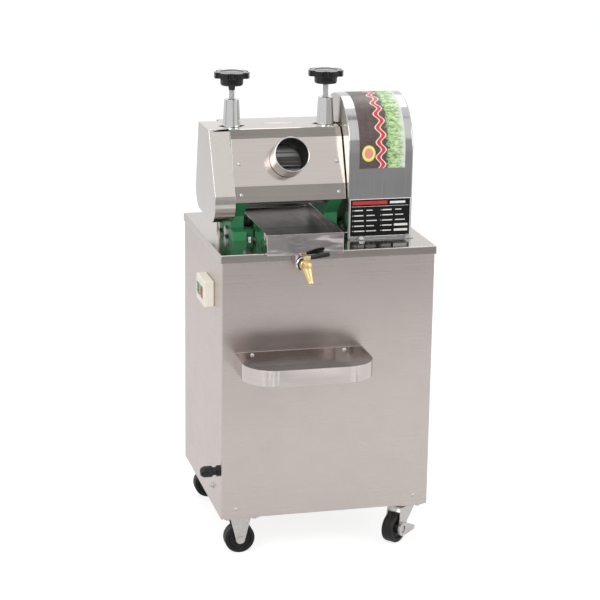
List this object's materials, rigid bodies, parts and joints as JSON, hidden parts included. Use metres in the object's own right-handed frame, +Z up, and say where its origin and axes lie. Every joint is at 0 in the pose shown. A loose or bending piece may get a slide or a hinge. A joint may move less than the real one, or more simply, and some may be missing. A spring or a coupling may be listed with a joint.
{
  "type": "sugarcane juicer",
  "caption": "Motor-driven three-roller sugarcane juicer on a stainless cabinet with casters: hood with feed tube, pressure knobs, juice tray with tap and cup shelf.",
  "frame": {"origin": "on the floor, at the middle of the overall footprint", "axes": "+Z up, -Y to the front where the cup shelf and the tap are, +X to the drive side"},
  "size_m": [0.501, 0.546, 1.009],
  "materials": {
    "cabinet_steel": "vertical brushed grain, semi-matte",
    "lid_steel": "fine brushed, close to polished",
    "hood_steel": "fine brushed sheet",
    "polished_steel": "polished stainless steel",
    "shelf_steel": "polished stainless steel sheet",
    "green_casting": "gloss green enamel on rough casting",
    "roller_steel": "ground stainless steel",
    "gear_steel": "machined, lightly oiled",
    "pulley_iron": "cast, machined in the groove",
    "bush_bronze": "plain bronze",
    "belt_rubber": "matte",
    "motor_paint": "grey enamel",
    "knob_plastic": "moulded black",
    "tap_brass": "polished brass",
    "switch_plastic": "moulded cream",
    "start_green": "moulded green",
    "stop_red": "moulded red",
    "gland_plastic": "moulded black nylon",
    "screw_steel": "zinc plated",
    "caster_steel": "pressed and zinc plated",
    "wheel_rubber": "moulded black, matte tread"
  },
  "bodies": {
    "machine": {"cabinet_shell": "cabinet_steel", "rear_panel": "cabinet_steel", "top_lid": "lid_steel", "base_pan": "cabinet_steel", "motor_mount": "cabinet_steel", "motor_housing": "motor_paint", "motor_fan_cover": "motor_paint", "cup_shelf": "shelf_steel", "left_frame": "green_casting", "right_frame": "green_casting", "tie_rods": "gear_steel", "front_cover": "hood_steel", "feed_tube": "polished_steel", "top_cover": "hood_steel", "left_gear_cover": "hood_steel", "drive_cover": "hood_steel", "discharge_chute": "hood_steel", "turner_plate": "roller_steel", "roller_bushes": "bush_bronze", "pillow_blocks": "green_casting", "drive_belt": "belt_rubber", "switch_box": "switch_plastic", "cable_gland": "gland_plastic", "earth_terminal": "tap_brass", "panel_screws": "screw_steel", "machine_bolts": "screw_steel", "screw_sleeves": "polished_steel", "rigid_brackets": "caster_steel", "swivel_plates": "caster_steel", "caster_bolts": "screw_steel", "rigid_axles": "screw_steel"},
    "bearing_carriage": {"bearing_blocks": "gear_steel"},
    "top_roller_set": {"top_roller": "roller_steel", "top_roller_gear": "gear_steel", "main_gear": "gear_steel"},
    "front_roller_set": {"front_roller": "roller_steel", "front_roller_gear": "gear_steel"},
    "rear_roller_set": {"rear_roller": "roller_steel", "rear_roller_gear": "gear_steel"},
    "countershaft": {"pinion_shaft": "gear_steel", "driven_pulley": "pulley_iron"},
    "motor_rotor": {"motor_shaft": "gear_steel", "motor_pulley": "pulley_iron"},
    "left_screw": {"left_pressure_screw": "polished_steel", "left_star_knob": "knob_plastic"},
    "right_screw": {"right_pressure_screw": "polished_steel", "right_star_knob": "knob_plastic"},
    "tray": {"juice_tray": "shelf_steel", "tap_body": "tap_brass"},
    "tap_handle": {"tap_lever": "knob_plastic"},
    "start_switch": {"start_button": "start_green"},
    "stop_switch": {"stop_button": "stop_red"},
    "front_left_roll": {"front_left_wheel": "wheel_rubber"},
    "rear_left_roll": {"rear_left_wheel": "wheel_rubber"},
    "front_fork": {"front_swivel_fork": "caster_steel"},
    "rear_fork": {"rear_swivel_fork": "caster_steel"},
    "front_right_roll": {"front_right_wheel": "wheel_rubber"},
    "rear_right_roll": {"rear_right_wheel": "wheel_rubber"},
    "front_pedal": {"front_brake_pedal": "caster_steel"},
    "rear_pedal": {"rear_brake_pedal": "caster_steel"}
  },
  "joints": [
    {"name": "pressure_slide", "type": "slide", "parent": "machine", "child": "bearing_carriage", "axis": [0, 0, 1], "range_m": [0, 0.0015]},
    {"name": "left_screw_turn", "type": "hinge", "parent": "bearing_carriage", "child": "left_screw", "pos_m": [-0.1465, 0.0685, 0.9], "axis": [0, 0, 1], "range_deg": [0, 360]},
    {"name": "right_screw_turn", "type": "hinge", "parent": "bearing_carriage", "child": "right_screw", "pos_m": [0.0575, 0.0685, 0.9], "axis": [0, 0, 1], "range_deg": [0, 360]},
    {"name": "top_roller_spin", "type": "hinge", "parent": "bearing_carriage", "child": "top_roller_set", "pos_m": [-0.0445, 0.0685, 0.83], "axis": [1, 0, 0], "continuous": true},
    {"name": "front_roller_spin", "type": "hinge", "parent": "machine", "child": "front_roller_set", "pos_m": [-0.0445, 0.0225, 0.7695], "axis": [1, 0, 0], "continuous": true},
    {"name": "rear_roller_spin", "type": "hinge", "parent": "machine", "child": "rear_roller_set", "pos_m": [-0.0445, 0.1145, 0.7695], "axis": [1, 0, 0], "continuous": true},
    {"name": "countershaft_spin", "type": "hinge", "parent": "machine", "child": "countershaft", "pos_m": [0.1455, 0.0685, 0.713], "axis": [1, 0, 0], "continuous": true},
    {"name": "motor_spin", "type": "hinge", "parent": "machine", "child": "motor_rotor", "pos_m": [0.1455, 0.0685, 0.238], "axis": [1, 0, 0], "continuous": true},
    {"name": "tray_slide", "type": "slide", "parent": "machine", "child": "tray", "axis": [0, -1, 0], "range_m": [0, 0.24]},
    {"name": "tap_turn", "type": "hinge", "parent": "tray", "child": "tap_handle", "pos_m": [-0.0409, -0.17463, 0.66], "axis": [0, 0, 1], "range_deg": [-90, 0]},
    {"name": "start_press", "type": "slide", "parent": "machine", "child": "start_switch", "axis": [1, 0, 0], "range_m": [0, 0.0035], "stiffness_N_per_m": 300},
    {"name": "stop_press", "type": "slide", "parent": "machine", "child": "stop_switch", "axis": [1, 0, 0], "range_m": [0, 0.0035], "stiffness_N_per_m": 300},
    {"name": "front_left_wheel_spin", "type": "hinge", "parent": "machine", "child": "front_left_roll", "pos_m": [-0.1625, -0.0995, 0.0325], "axis": [0, 1, 0], "continuous": true},
    {"name": "rear_left_wheel_spin", "type": "hinge", "parent": "machine", "child": "rear_left_roll", "pos_m": [-0.1625, 0.2365, 0.0325], "axis": [0, 1, 0], "continuous": true},
    {"name": "front_fork_swivel", "type": "hinge", "parent": "machine", "child": "front_fork", "pos_m": [0.2015, -0.0995, 0.075], "axis": [0, 0, 1], "continuous": true},
    {"name": "front_right_wheel_spin", "type": "hinge", "parent": "front_fork", "child": "front_right_roll", "pos_m": [0.18005, -0.1175, 0.0325], "axis": [0.6428, -0.766, 0], "continuous": true},
    {"name": "front_brake", "type": "hinge", "parent": "front_fork", "child": "front_pedal", "pos_m": [0.18005, -0.1175, 0.0325], "axis": [0.6428, -0.766, 0], "range_deg": [-15, 0]},
    {"name": "rear_fork_swivel", "type": "hinge", "parent": "machine", "child": "rear_fork", "pos_m": [0.2015, 0.2365, 0.075], "axis": [0, 0, 1], "continuous": true},
    {"name": "rear_right_wheel_spin", "type": "hinge", "parent": "rear_fork", "child": "rear_right_roll", "pos_m": [0.17445, 0.24375, 0.0325], "axis": [-0.2588, -0.9659, 0], "continuous": true},
    {"name": "rear_brake", "type": "hinge", "parent": "rear_fork", "child": "rear_pedal", "pos_m": [0.17445, 0.24375, 0.0325], "axis": [-0.2588, -0.9659, 0], "range_deg": [-15, 0]}
  ],
  "couplings": [
    {"joint": "left_screw_turn", "follows": "pressure_slide", "rad_per_m": 4188.8},
    {"joint": "right_screw_turn", "follows": "pressure_slide", "rad_per_m": 4188.8},
    {"joint": "front_roller_spin", "follows": "top_roller_spin", "ratio": -1},
    {"joint": "rear_roller_spin", "follows": "top_roller_spin", "ratio": -1},
    {"joint": "countershaft_spin", "follows": "top_roller_spin", "ratio": -5.5},
    {"joint": "motor_spin", "follows": "top_roller_spin", "ratio": -22}
  ]
}
